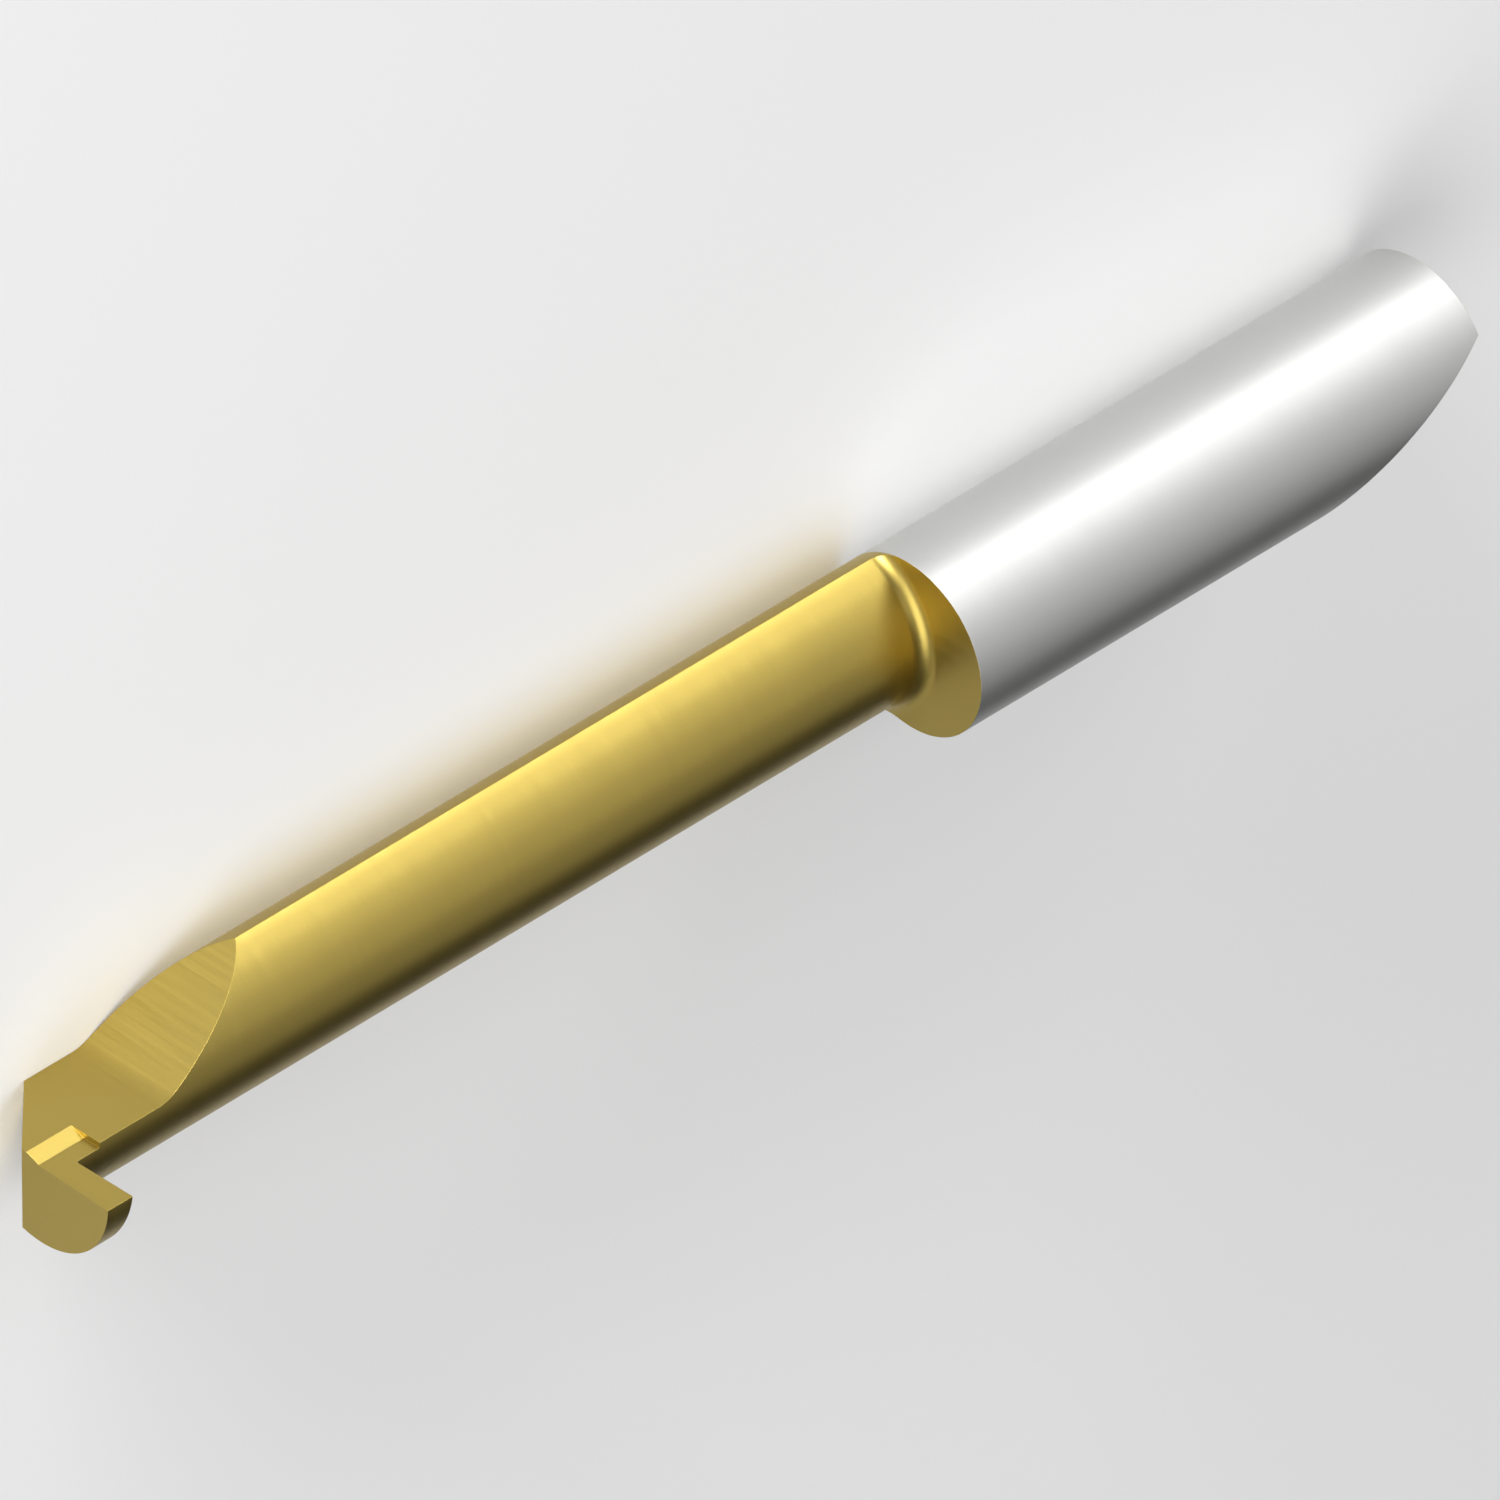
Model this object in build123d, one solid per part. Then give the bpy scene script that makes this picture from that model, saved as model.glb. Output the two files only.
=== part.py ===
from build123d import *
from math import radians, sqrt, tan
import os

# A miniature internal grooving bar, ground all over from one round blank of solid carbide.
# X is the axis of the shank: the tip is at -X, the clamped end at +X, and X = 0 is the shoulder.
# Y is square to the rake face, and Z is the way the cutting edge faces. Lengths are in mm, angles in degrees.

# Shank
SHANK_DIAMETER = 6.0
SHANK_LENGTH = 20.9  # from the shoulder to the end face
LOCATING_ANGLE = 30.0  # between the inclined face at the rear and the axis
LOCATING_AT_AXIS = 18.1  # X where that face crosses the axis

# Neck: what the blank has in common with a second cylinder of the shank's radius, beside it
OVERHANG = 35.3  # from the shoulder to the tip
NECK_CREST = 0.65  # Z of the neck's front, level with the axis
SHOULDER_FILLET = 0.5
NECK_UNDERSIZE = 0.005  # on the radius, so that the coated end still passes a bore that fits the shank
NECK_RUN_IN = 0.6  # length over which the blank comes up to the shank's size

# Cutting head
EDGE_WIDTH = 1.0  # of the groove that it cuts
GROOVE_DEPTH = 2.3
PLAN_RELIEF = 1.2  # both sides of the edge draw in towards the neck
FRONT_CLEARANCE = 1.0  # the tip face leans back below the edge
SIDE_CLEARANCE = 4.5  # and the other side of the head leans forward
HEEL_RISE = 0.15  # how far the centre of the round heel lies above the rake face
ROOT_FILLET = 0.1
BACK_CHAMFER_START = -0.73  # Z on the tip face where the 45 degree chamfer of the back begins

# Chip space above the head
FLAT_HEIGHT = 0.18  # the long flat lies this much above the rake face
RUNOUT_START = -30.67  # X where the flat would meet the inclined run-out
RUNOUT_ANGLE = 30.0
RUNOUT_FILLET = 1.25
RAKE_LAND = 1.88  # length of the rake face behind the tip
RAKE_BANK = 0.54  # width of the bank between the rake face and the flat

# Worked out
RADIUS = SHANK_DIAMETER / 2
NECK_RADIUS = RADIUS - NECK_UNDERSIZE
TIP_X = -OVERHANG
EDGE_Z = NECK_CREST + GROOVE_DEPTH
NECK_AXIS_Z = NECK_CREST - RADIUS
CLEAR = SHANK_DIAMETER  # how far a grinding cut runs past the bar


def blank():
    """The round blank, from beyond the tip to the end of the shank."""
    start = TIP_X - CLEAR
    outline = Polyline((start, 0), (start, NECK_RADIUS), (-NECK_RUN_IN, NECK_RADIUS), (0, RADIUS),
                       (SHANK_LENGTH, RADIUS), (SHANK_LENGTH, 0), close=True)
    return revolve(Plane.XZ * make_face(outline), Axis.X)


def neck_envelope():
    """Round about the neck's own axis: leaves the neck's front and flares out into the shoulder."""
    start, reach = TIP_X - CLEAR, RADIUS + CLEAR
    flare_x, flare_r = -SHOULDER_FILLET, RADIUS + SHOULDER_FILLET
    outline = Polyline((0, flare_r), (0, reach), (SHANK_LENGTH, reach), (SHANK_LENGTH, 0),
                       (start, 0), (start, RADIUS), (flare_x, RADIUS))
    outline += CenterArc((flare_x, flare_r), SHOULDER_FILLET, 270, 90)
    half_section = Plane.XZ * Pos(0, NECK_AXIS_Z) * make_face(outline)
    return revolve(half_section, Axis((0, 0, NECK_AXIS_Z), (1, 0, 0)))


def head_disc():
    """The thin head before its tip face is ground: round heel, inner side already relieved."""
    start = TIP_X - CLEAR
    heel_z = EDGE_Z - sqrt(RADIUS**2 - HEEL_RISE**2)
    section = Plane.YZ.offset(start) * (Circle(NECK_RADIUS) & Pos(HEEL_RISE, heel_z) * Circle(RADIUS))
    disc = extrude(section, amount=CLEAR + 2 * EDGE_WIDTH)
    outward = (1, -tan(radians(SIDE_CLEARANCE)), -tan(radians(PLAN_RELIEF)))
    inner_side = Plane((TIP_X + EDGE_WIDTH, 0, EDGE_Z), z_dir=outward)
    return split(disc, bisect_by=inner_side, keep=Keep.BOTTOM)


def chip_space():
    """What is ground away above the long flat and up the inclined run-out."""
    foot = (RUNOUT_START, FLAT_HEIGHT)
    top = FLAT_HEIGHT + CLEAR * tan(radians(RUNOUT_ANGLE))
    side = make_face(Polyline((TIP_X - CLEAR, FLAT_HEIGHT), foot, (RUNOUT_START + CLEAR, top),
                              (TIP_X - CLEAR, top), close=True))
    side = fillet(side.vertices().sort_by_distance(foot)[0], RUNOUT_FILLET)
    return extrude(side, amount=CLEAR, both=True)


def rake_recess():
    """The lower step that holds the rake face, with its sloping bank towards the back."""
    height = CLEAR * FLAT_HEIGHT / RAKE_BANK
    section = make_face(Polyline((0, 0), (0, CLEAR), (height, CLEAR), (height, -CLEAR), close=True))
    return extrude(Plane.YZ.offset(TIP_X - CLEAR) * section, amount=CLEAR + RAKE_LAND)


def grind_tip(bar):
    """Grinds the relieved tip face, and the chamfer behind it that clears the far wall of the bore."""
    relief = tan(radians(PLAN_RELIEF))
    tip_face = Plane((TIP_X, 0, EDGE_Z), z_dir=(1, tan(radians(FRONT_CLEARANCE)), relief))
    chamfer_x = TIP_X + (EDGE_Z - BACK_CHAMFER_START) * relief
    chamfer = Plane((chamfer_x, 0, BACK_CHAMFER_START), z_dir=(1, 0, 1))
    bar = split(bar, bisect_by=tip_face, keep=Keep.TOP)
    return split(bar, bisect_by=chamfer, keep=Keep.TOP)


def grind_locating_face(bar):
    """Grinds the inclined face at the rear, which sets the bar's depth and angle in its holder."""
    outward = (tan(radians(LOCATING_ANGLE)), -1, 0)
    locating_face = Plane((LOCATING_AT_AXIS, 0, 0), z_dir=outward)
    return split(bar, bisect_by=locating_face, keep=Keep.BOTTOM)


def round_root(bar):
    """Rounds the corner where the inner side of the head meets the neck."""
    corner = (TIP_X + EDGE_WIDTH, 0, NECK_CREST)
    root = bar.edges().filter_by(GeomType.ELLIPSE).sort_by_distance(corner)[0]
    return fillet(root, ROOT_FILLET)


def grooving_bar():
    """The whole bar."""
    bar = blank() & neck_envelope()
    bar += head_disc()
    bar -= chip_space()
    bar -= rake_recess()
    return grind_locating_face(round_root(grind_tip(bar)))


os.makedirs("parts", exist_ok=True)
export_step(grooving_bar(), "parts/boring_bar.step")
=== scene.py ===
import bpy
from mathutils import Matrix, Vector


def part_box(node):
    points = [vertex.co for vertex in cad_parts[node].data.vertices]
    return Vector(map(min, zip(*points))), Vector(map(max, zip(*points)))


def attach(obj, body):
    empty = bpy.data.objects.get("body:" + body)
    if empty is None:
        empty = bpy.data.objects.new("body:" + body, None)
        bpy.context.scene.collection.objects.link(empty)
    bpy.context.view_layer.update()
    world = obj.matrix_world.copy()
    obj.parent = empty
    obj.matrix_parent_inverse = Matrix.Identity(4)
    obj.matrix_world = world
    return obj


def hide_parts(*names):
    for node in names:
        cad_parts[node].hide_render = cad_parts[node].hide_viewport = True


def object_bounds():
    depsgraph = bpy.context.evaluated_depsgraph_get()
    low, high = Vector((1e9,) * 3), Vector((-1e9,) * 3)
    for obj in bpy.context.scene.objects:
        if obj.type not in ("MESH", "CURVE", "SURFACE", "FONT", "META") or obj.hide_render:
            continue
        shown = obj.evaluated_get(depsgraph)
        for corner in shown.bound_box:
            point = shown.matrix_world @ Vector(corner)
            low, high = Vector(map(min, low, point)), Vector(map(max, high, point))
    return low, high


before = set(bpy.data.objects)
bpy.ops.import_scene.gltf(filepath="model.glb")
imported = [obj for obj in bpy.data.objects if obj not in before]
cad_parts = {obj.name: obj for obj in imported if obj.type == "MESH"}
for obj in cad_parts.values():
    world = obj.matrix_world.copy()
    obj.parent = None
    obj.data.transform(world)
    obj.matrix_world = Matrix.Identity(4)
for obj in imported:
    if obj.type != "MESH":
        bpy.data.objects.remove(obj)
cadBox = [list(corner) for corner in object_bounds()]

from math import asin, cos, pi, radians, sin, sqrt, tan

import bmesh
import bpy
from mathutils import Matrix, Vector

mm = 0.001         # the bar is drawn in millimetres and becomes metres when it is finished
touching = 1e-4    # mm, corners this near to a place count as being there
onPlane = 1e-6     # mm, the same for a cutting plane
scene = bpy.context.scene

low, high = (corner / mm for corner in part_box("boring_bar"))
tipX, shankEndX = low.x, high.x
shankRadius = high.z


def addPiece(name, bm):
    mesh = bpy.data.meshes.new(name)
    bm.to_mesh(mesh)
    bm.free()
    piece = bpy.data.objects.new(name, mesh)
    scene.collection.objects.link(piece)
    return piece


def turned(profile, axisZ):  # spins a half section of (x, radius) corners about a line along X
    bm = bmesh.new()
    corners = [bm.verts.new((x, 0, axisZ + radius)) for x, radius in profile]
    lines = [bm.edges.new(pair) for pair in zip(corners, corners[1:])]
    bmesh.ops.spin(bm, geom=corners + lines, cent=(0, 0, axisZ), axis=(1, 0, 0),
                   angle=2 * pi, steps=bar["segments"], use_merge=True)
    bmesh.ops.remove_doubles(bm, verts=bm.verts, dist=touching)
    bmesh.ops.recalc_face_normals(bm, faces=bm.faces)
    return bm


def roundEdges(bm, edges, offset, segments):
    bmesh.ops.bevel(bm, geom=edges, offset=offset, offset_type="OFFSET", segments=segments,
                    profile=0.5, affect="EDGES", material=-1)


def roundStep(bm, axisZ, radius, fillet, segments):  # rounds the inner corner of a step at x = 0
    axis = Vector((0, axisZ))
    corner = [edge for edge in bm.edges if all(
        abs(v.co.x) < touching and (v.co.yz - axis).length < radius + touching for v in edge.verts)]
    roundEdges(bm, corner, fillet, segments)


def block(corners, travel):  # pushes a flat outline along a straight line
    bm = bmesh.new()
    outline = bm.faces.new([bm.verts.new(corner) for corner in corners])
    pushed = bmesh.ops.extrude_face_region(bm, geom=[outline])["geom"]
    bmesh.ops.translate(bm, vec=travel,
                        verts=[g for g in pushed if isinstance(g, bmesh.types.BMVert)])
    bmesh.ops.recalc_face_normals(bm, faces=bm.faces)
    return bm


def cutThrough(bm, point, outward, clearOuter):  # gives back the edges of the cut
    cut = bmesh.ops.bisect_plane(bm, geom=bm.verts[:] + bm.edges[:] + bm.faces[:], dist=onPlane,
                                 plane_co=point, plane_no=outward, clear_outer=clearOuter)
    return [g for g in cut["geom_cut"] if isinstance(g, bmesh.types.BMEdge)]


def grindFlat(bm, point, outward):  # takes away all that lies outside a plane, and closes the cut
    bmesh.ops.contextual_create(bm, geom=cutThrough(bm, point, outward, True))


def combine(piece, cutter, operation):
    step = piece.modifiers.new(operation.lower(), "BOOLEAN")
    step.operation = operation
    step.object = cutter
    step.solver = "EXACT"
    shaped = piece.evaluated_get(bpy.context.evaluated_depsgraph_get())
    result = bpy.data.meshes.new_from_object(shaped)
    piece.modifiers.remove(step)
    piece.data = result
    bpy.data.objects.remove(cutter)


# lengths in mm, angles in degrees; x is 0 at the shoulder and runs back along the shank
bar = {
    "segments": 360,            # facets round the bar
    "neckCrest": 0.65,          # height of the neck's front over the axis
    "neckUndersize": 0.005,     # off the radius of the neck's back
    "neckRunIn": 0.6,           # over which the neck's back comes up to the shank
    "shoulderFillet": 0.5,
    "shoulderSegments": 24,
    "edgeWidth": 1.0,
    "grooveDepth": 2.3,
    "planRelief": 1.2,          # both sides of the edge draw in towards the neck
    "frontClearance": 1.0,      # the tip face leans back below the edge
    "sideClearance": 4.5,       # and the other side of the head leans forward
    "heelRise": 0.15,           # the round heel's centre lies this far above the rake face
    "rootFillet": 0.1,
    "rootSegments": 12,
    "rootSunk": 5e-4,           # the root fillet ends this far under the neck
    "backChamferStart": -0.73,
    "flatHeight": 0.18,         # of the long flat over the rake face
    "runoutStart": -30.67,
    "runoutAngle": 30,
    "runoutFillet": 1.25,
    "runoutSegments": 16,
    "rakeLand": 1.88,           # length of the rake face behind the tip
    "rakeBank": 0.54,           # width of the bank between the rake face and the flat
    "locatingAngle": 30,
    "locatingAtAxis": 18.1,     # where the locating face crosses the axis
    "coatingEnd": 1e-3,         # the coating covers the shoulder and all that lies ahead of it
    "neckCut": 1.5,             # where the neck is cut round, behind the tip
    "shortestEdge": 4e-3,       # shorter ones are closed up, so that the rounding has room
    "edgeRounding": 0.012,      # all edges are lightly honed
    "roundingSegments": 2,
    "sharpFrom": 10,            # edges that turn by more than this are rounded
    "endFaceFrom": 0.75,        # a face lies across the bar if its normal's x is over this
}
spare = 1                       # the tools' reach past the blank's ends
clear = 2 * shankRadius         # the blank's reach past the tip, and the tools' past its side
startX = tipX - clear
neckAxisZ = bar["neckCrest"] - shankRadius
edgeZ = bar["neckCrest"] + bar["grooveDepth"]
relief = tan(radians(bar["planRelief"]))


def makeEnvelope():  # what the wheel leaves: the neck, turned about its own axis, and the shoulder
    reach, endX = shankRadius + clear, shankEndX + spare
    bm = turned([(startX - spare, 0), (startX - spare, shankRadius), (0, shankRadius), (0, reach),
                 (endX, reach), (endX, 0)], neckAxisZ)
    roundStep(bm, neckAxisZ, shankRadius, bar["shoulderFillet"], bar["shoulderSegments"])
    return addPiece("envelope", bm)


def makeHead():  # a round heel, a relieved and leaning inner side, and a fillet down to the neck
    heelZ = edgeZ - sqrt(shankRadius ** 2 - bar["heelRise"] ** 2)
    length = clear + 3 * bar["edgeWidth"]

    # turned so that the cutting edge lies in the middle of a facet
    midFacet = asin(bar["heelRise"] / shankRadius) + pi / bar["segments"]
    lying = Matrix.Rotation(midFacet, 4, "X") @ Matrix.Rotation(pi / 2, 4, "Y")
    bm = bmesh.new()
    bmesh.ops.create_cone(bm, cap_ends=True, segments=bar["segments"], radius1=shankRadius,
                          radius2=shankRadius, depth=length, matrix=lying)
    bmesh.ops.translate(bm, verts=bm.verts,
                        vec=(startX + length / 2 - spare / 2, bar["heelRise"], heelZ))
    head = addPiece("head", bm)

    # the inner side, turned about the neck's axis and then leaned over
    reach, sunk = shankRadius + clear, shankRadius - bar["rootSunk"]
    endX = 2 * bar["rootFillet"]
    bm = turned([(-length, 0), (-length, reach), (0, reach), (0, sunk), (endX, sunk), (endX, 0)],
                neckAxisZ)
    roundStep(bm, neckAxisZ, sunk, bar["rootFillet"], bar["rootSegments"])
    lean = tan(radians(bar["sideClearance"]))
    sideX = tipX + bar["edgeWidth"] - relief * edgeZ
    bmesh.ops.transform(bm, verts=bm.verts, matrix=Matrix((
        (1, lean, relief, sideX), (0, 1, 0, 0), (0, 0, 1, 0), (0, 0, 0, 1))))
    combine(head, addPiece("innerSide", bm), "INTERSECT")
    return head


def makeChipSpace():  # the long flat and the inclined run-out
    rise = clear * tan(radians(bar["runoutAngle"]))
    footX, flat = bar["runoutStart"], bar["flatHeight"]
    bm = block([(startX - spare, flat, -clear), (footX, flat, -clear),
                (footX + clear, flat + rise, -clear), (startX - spare, flat + rise, -clear)],
               (0, 0, 2 * clear))
    foot = [edge for edge in bm.edges if all(abs(v.co.x - footX) < touching for v in edge.verts)]
    tangent = bar["runoutFillet"] * tan(radians(bar["runoutAngle"]) / 2)
    roundEdges(bm, foot, tangent, bar["runoutSegments"])
    return addPiece("chipSpace", bm)


def makeRakeStep():  # the lower step that holds the rake face, with its sloping bank
    bankFoot = clear * bar["flatHeight"] / bar["rakeBank"]
    bm = block([(startX - spare, 0, 0), (startX - spare, 0, clear),
                (startX - spare, bankFoot, clear), (startX - spare, bankFoot, -clear)],
               (tipX + bar["rakeLand"] - startX + spare, 0, 0))
    return addPiece("rakeStep", bm)


def grindFaces(bm):  # tip face, back chamfer and locating face
    chamferX = tipX + (edgeZ - bar["backChamferStart"]) * relief
    grindFlat(bm, (tipX, 0, edgeZ), (-1, -tan(radians(bar["frontClearance"])), -relief))
    grindFlat(bm, (chamferX, 0, bar["backChamferStart"]), (-1, 0, -1))
    grindFlat(bm, (bar["locatingAtAxis"], 0, 0), (tan(radians(bar["locatingAngle"])), -1, 0))

    # a cut all round keeps the head's small corners out of the shading of the long neck
    cutThrough(bm, (tipX + bar["neckCut"], 0, 0), (1, 0, 0), False)
    bmesh.ops.remove_doubles(bm, verts=bm.verts, dist=bar["shortestEdge"])
    bmesh.ops.dissolve_degenerate(bm, edges=bm.edges, dist=bar["shortestEdge"])


def makeBar():
    neckRadius = shankRadius - bar["neckUndersize"]
    blank = turned([(startX, 0), (startX, neckRadius), (-bar["neckRunIn"], neckRadius),
                    (0, shankRadius), (shankEndX, shankRadius), (shankEndX, 0)], 0)
    envelope = makeEnvelope()
    combine(envelope, makeHead(), "UNION")
    piece = addPiece("boringBar", blank)
    combine(piece, envelope, "INTERSECT")
    print("bar: blank, neck and head", len(piece.data.polygons), "faces")

    combine(piece, makeChipSpace(), "DIFFERENCE")
    combine(piece, makeRakeStep(), "DIFFERENCE")
    print("bar: chip space and rake face", len(piece.data.polygons), "faces")

    bm = bmesh.new()
    bm.from_mesh(piece.data)
    grindFaces(bm)
    openEdges = sum(not edge.is_manifold for edge in bm.edges)
    print("bar: ground faces", len(bm.faces), "open edges", openEdges)

    piece.data.materials.clear()
    piece.data.materials.append(groundFinish("goldCoating", coating))
    piece.data.materials.append(groundFinish("groundCarbide", carbide))
    endFace = bm.faces.layers.float.new("endFace")  # the grinding marks turn on these faces
    for face in bm.faces:
        face.smooth = True
        face.material_index = int(face.calc_center_median().x > bar["coatingEnd"])
        face[endFace] = float(abs(face.normal.x) > bar["endFaceFrom"])
    bmesh.ops.scale(bm, vec=(mm, mm, mm), verts=bm.verts)
    bm.to_mesh(piece.data)
    bm.free()

    rounding = piece.modifiers.new("rounding", "BEVEL")
    rounding.width = bar["edgeRounding"] * mm
    rounding.segments = bar["roundingSegments"]
    rounding.use_clamp_overlap = False
    rounding.limit_method = "ANGLE"
    rounding.angle_limit = radians(bar["sharpFrom"])
    rounding.harden_normals = True
    return piece


# patches are clouds a few millimetres wide; mark depth is in metres
coating = {
    "colour": (0.395, 0.298, 0.0735),
    "paler": (0.427, 0.323, 0.0795),
    "roughness": (0.36, 0.42),
    "marksPerMetre": 9000,
    "markDepth": 2e-6,
    "patchesPerMetre": 180,
}
carbide = {
    "colour": (0.52, 0.52, 0.512),
    "paler": (0.56, 0.56, 0.552),
    "roughness": (0.46, 0.52),
    "marksPerMetre": 12000,
    "markDepth": 1.5e-6,
    "patchesPerMetre": 140,
}
grinding = {                    # the same in both finishes
    "stretch": 0.03,            # scale along a mark, as a share of that across it
    "markDetail": 3,
    "patchDetail": 2,
    "markShare": 0.5,           # of the marks in the tone, the rest comes from the patches
    "noiseRange": (0.3, 0.7),   # the part of the noise that spans the roughness
}


def addNoise(material, vector, scale, detail):
    noise = material.node_tree.nodes.new("ShaderNodeTexNoise")
    noise.inputs["Scale"].default_value = scale
    noise.inputs["Detail"].default_value = detail
    material.node_tree.links.new(vector, noise.inputs["Vector"])
    return noise.outputs["Fac"]


def addStretch(material, vector, scale):
    stretch = material.node_tree.nodes.new("ShaderNodeMapping")
    stretch.inputs["Scale"].default_value = scale
    material.node_tree.links.new(vector, stretch.inputs["Vector"])
    return stretch.outputs["Vector"]


def groundFinish(name, finish):
    material = bpy.data.materials.new(name)
    material.use_nodes = True
    nodes, links = material.node_tree.nodes, material.node_tree.links
    shader = nodes["Principled BSDF"]
    shader.inputs["Metallic"].default_value = 1.0
    place = nodes.new("ShaderNodeTexCoord").outputs["Object"]

    # long fine marks, round the bar or across its end faces
    across = finish["marksPerMetre"]
    along = across * grinding["stretch"]
    endFace = nodes.new("ShaderNodeAttribute")
    endFace.attribute_name = "endFace"
    way = nodes.new("ShaderNodeMix")
    way.data_type = "VECTOR"
    links.new(endFace.outputs["Fac"], way.inputs["Factor"])
    links.new(addStretch(material, place, (across, along, along)), way.inputs["A"])
    links.new(addStretch(material, place, (along, across, along)), way.inputs["B"])
    marks = addNoise(material, way.outputs["Result"], 1, grinding["markDetail"])

    # soft patches, where the finish is a little paler
    patches = addNoise(material, place, finish["patchesPerMetre"], grinding["patchDetail"])
    blend = nodes.new("ShaderNodeMix")
    blend.inputs["Factor"].default_value = grinding["markShare"]
    links.new(patches, blend.inputs["A"])
    links.new(marks, blend.inputs["B"])
    tone = nodes.new("ShaderNodeMix")
    tone.data_type = "RGBA"
    tone.inputs["A"].default_value = (*finish["colour"], 1)
    tone.inputs["B"].default_value = (*finish["paler"], 1)
    links.new(blend.outputs["Result"], tone.inputs["Factor"])
    links.new(tone.outputs["Result"], shader.inputs["Base Color"])

    rough = nodes.new("ShaderNodeMapRange")
    for end, noise, roughness in zip(("Min", "Max"), grinding["noiseRange"], finish["roughness"]):
        rough.inputs["From " + end].default_value = noise
        rough.inputs["To " + end].default_value = roughness
    links.new(marks, rough.inputs["Value"])
    links.new(rough.outputs["Result"], shader.inputs["Roughness"])
    bump = nodes.new("ShaderNodeBump")
    bump.inputs["Strength"].default_value = 1.0
    bump.inputs["Distance"].default_value = finish["markDepth"]
    links.new(marks, bump.inputs["Height"])
    links.new(bump.outputs["Normal"], shader.inputs["Normal"])
    return material


piece = makeBar()
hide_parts("boring_bar")
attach(piece, "root")
print("bar: finishes")


studioFloor = {
    "size": 3.0,                # metres
    "colour": (0.85, 0.85, 0.85),
    "roughness": 0.9,
    "glow": 0.06,               # how much whiter the floor looks than it lights
}


def makeFloor():
    bm = bmesh.new()
    bmesh.ops.create_grid(bm, x_segments=1, y_segments=1, size=studioFloor["size"] / 2)
    bmesh.ops.translate(bm, vec=(0, 0, cadBox[0][2]), verts=bm.verts)
    floor = addPiece("floor", bm)
    material = bpy.data.materials.new("paleFloor")
    material.use_nodes = True
    nodes, links = material.node_tree.nodes, material.node_tree.links
    shader = nodes["Principled BSDF"]
    shader.inputs["Base Color"].default_value = (*studioFloor["colour"], 1)
    shader.inputs["Roughness"].default_value = studioFloor["roughness"]
    shader.inputs["Specular IOR Level"].default_value = 0
    shader.inputs["Emission Color"].default_value = (1, 1, 1, 1)

    # the glow is seen by the camera, and in metal and glass alike
    path = nodes.new("ShaderNodeLightPath")
    seen = path.outputs["Is Camera Ray"]
    for ray in ("Is Glossy Ray", "Is Transmission Ray"):
        either = nodes.new("ShaderNodeMath")
        either.operation = "MAXIMUM"
        links.new(seen, either.inputs[0])
        links.new(path.outputs[ray], either.inputs[1])
        seen = either.outputs["Value"]
    glow = nodes.new("ShaderNodeMath")
    glow.operation = "MULTIPLY"
    glow.inputs[1].default_value = studioFloor["glow"]
    links.new(seen, glow.inputs[0])
    links.new(glow.outputs["Value"], shader.inputs["Emission Strength"])
    floor.data.materials.append(material)


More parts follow.
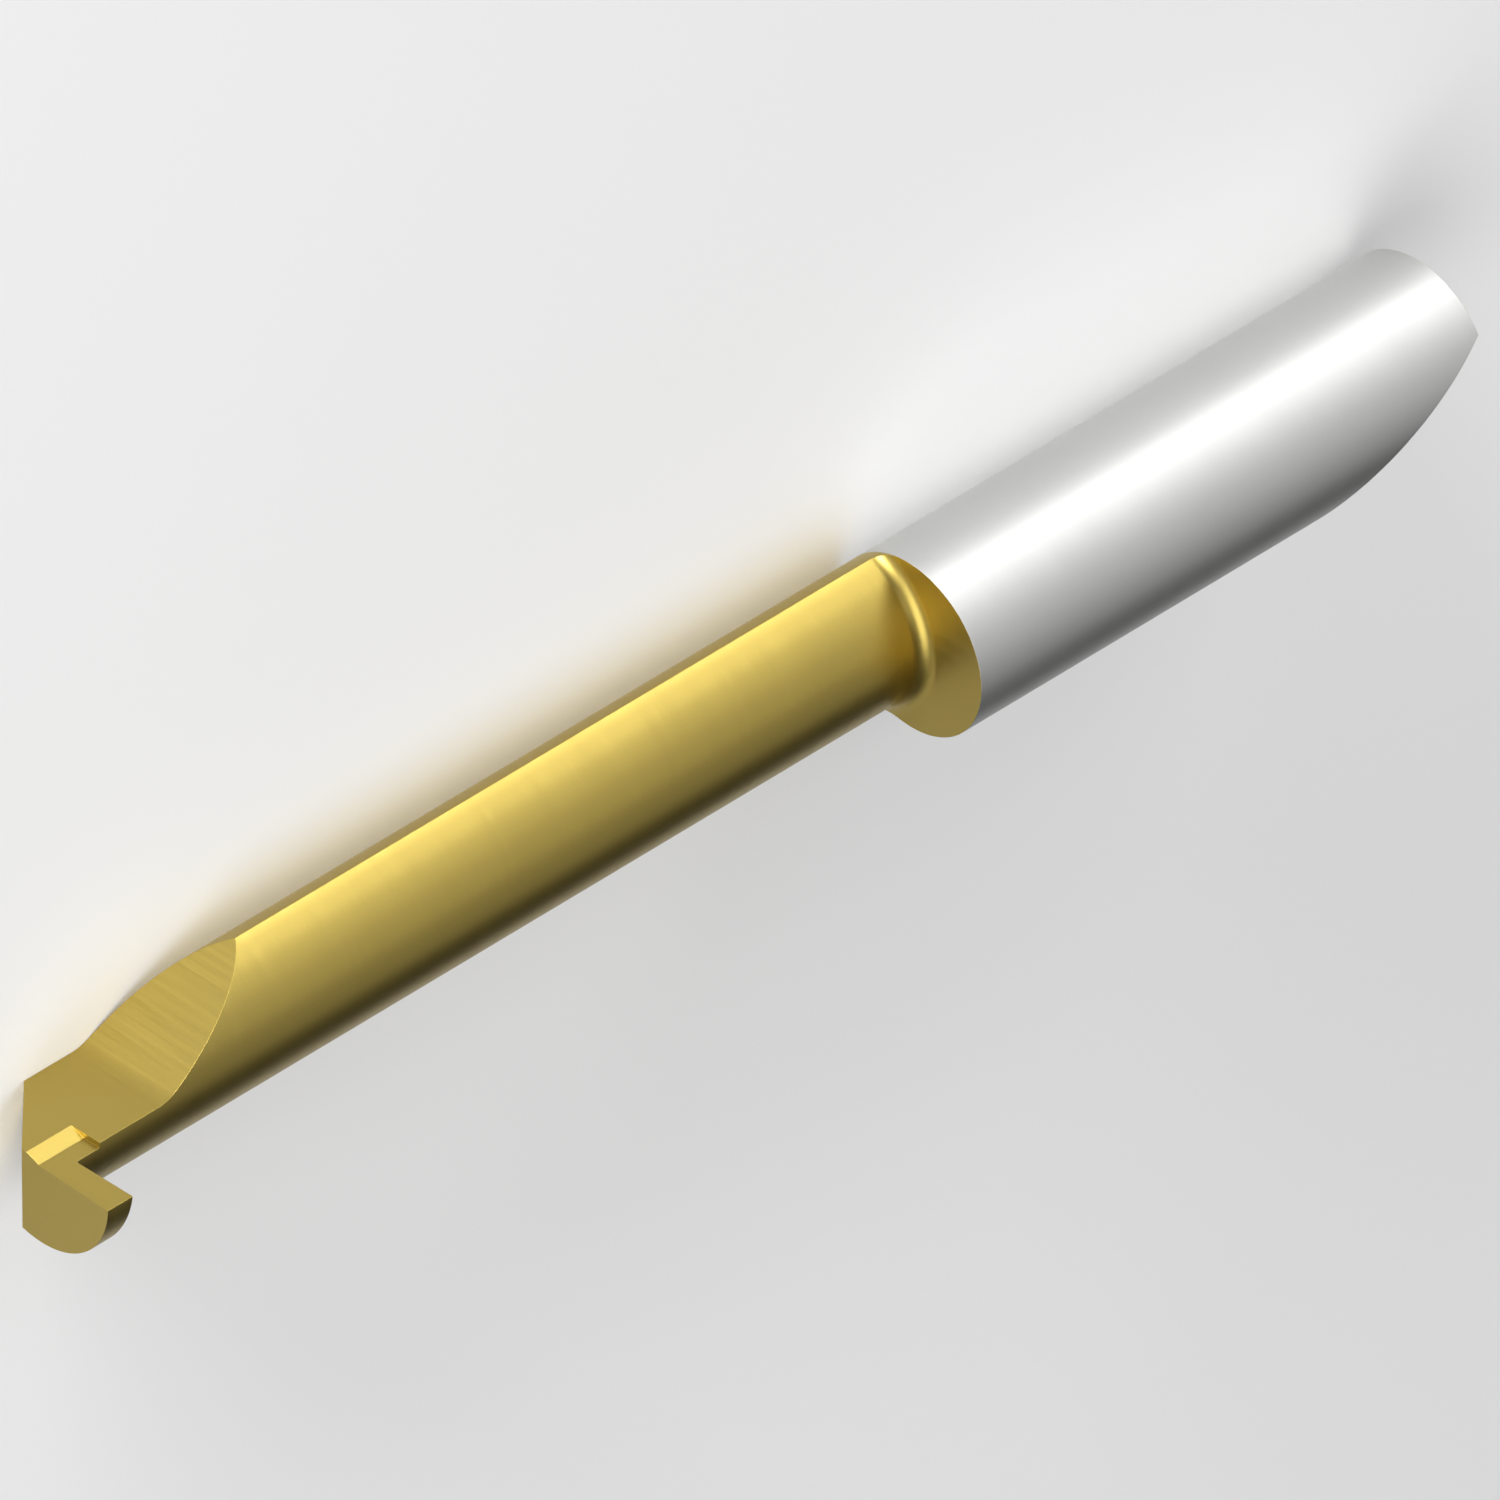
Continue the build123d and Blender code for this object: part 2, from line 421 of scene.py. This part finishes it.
# degrees round from X and up from the floor, sizes in metres; glow is how bright a softbox looks
softboxes = {
    "bandFloor": {"round": 57, "up": 2, "wide": 0.25, "tall": 0.035, "glow": 22},
    "bandMid": {"round": 52, "up": 22, "wide": 0.22, "tall": 0.15, "glow": 4.1},
    "bandHigh": {"round": 42, "up": 41, "wide": 0.22, "tall": 0.18, "glow": 2.0},
    "crest": {"round": 10, "up": 57, "wide": 0.30, "tall": 0.20, "glow": 1.1},
    "farSide": {"round": -35, "up": 45, "wide": 0.28, "tall": 0.25, "glow": 0.55},
    "overhead": {"round": 100, "up": 68, "wide": 0.35, "tall": 0.30, "glow": 0.9},
    "left": {"round": 184, "up": 36, "wide": 0.45, "tall": 0.38, "glow": 3.6},
    "front": {"round": 100, "up": 7, "wide": 0.30, "tall": 0.10, "glow": 3.2},
    "frontLeft": {"round": 122, "up": 5, "wide": 0.30, "tall": 0.08, "glow": 40},
}
room = {"softboxDistance": 0.5, "wallLight": 0.03}


def makeSoftbox(name, box):
    light = bpy.data.lights.new(name, "AREA")
    light.shape = "RECTANGLE"
    light.size, light.size_y = box["wide"], box["tall"]
    light.energy = box["glow"] * pi * box["wide"] * box["tall"]
    stand = bpy.data.objects.new(name, light)
    turn, rise = radians(box["round"]), radians(box["up"])
    toward = Vector((cos(rise) * cos(turn), cos(rise) * sin(turn), sin(rise)))
    stand.location = toward * room["softboxDistance"]
    stand.rotation_euler = toward.to_track_quat("Z", "Y").to_euler()
    stand.visible_camera = False
    scene.collection.objects.link(stand)


def makeWorld():
    world = bpy.data.worlds.new("studioWorld")
    scene.world = world
    world.use_nodes = True
    background = world.node_tree.nodes["Background"]
    background.inputs["Color"].default_value = (1, 1, 1, 1)
    background.inputs["Strength"].default_value = room["wallLight"]


# a long lens, far away
view = {
    "turn": 44.3276,            # degrees, how far it swings from straight above towards the tip
    "tilt": 37.7305,            # degrees, and from there towards +Y
    "aim": (-4.644, -2.430, -1.908),  # mm, the middle of the view
    "distance": 1903.6,         # mm
    "lens": 1564.8,
    "sensorWidth": 36,
    "clipEnd": 100,             # metres
}


def makeCamera():
    turn, tilt = radians(view["turn"]), radians(view["tilt"])
    across = Vector((cos(turn), 0, sin(turn)))
    back = Vector((-sin(turn) * cos(tilt), sin(tilt), cos(turn) * cos(tilt)))
    place = Matrix((across, back.cross(across), back)).transposed().to_4x4()
    place.translation = (Vector(view["aim"]) + back * view["distance"]) * mm
    camera = bpy.data.objects.new("camera", bpy.data.cameras.new("camera"))
    camera.data.lens = view["lens"]
    camera.data.sensor_width = view["sensorWidth"]
    camera.data.clip_end = view["clipEnd"]
    camera.matrix_world = place
    scene.collection.objects.link(camera)
    scene.camera = camera


makeFloor()
for name, box in softboxes.items():
    makeSoftbox(name, box)
makeWorld()
makeCamera()
scene.view_settings.view_transform = "Standard"
print("studio: floor, lamps and camera")
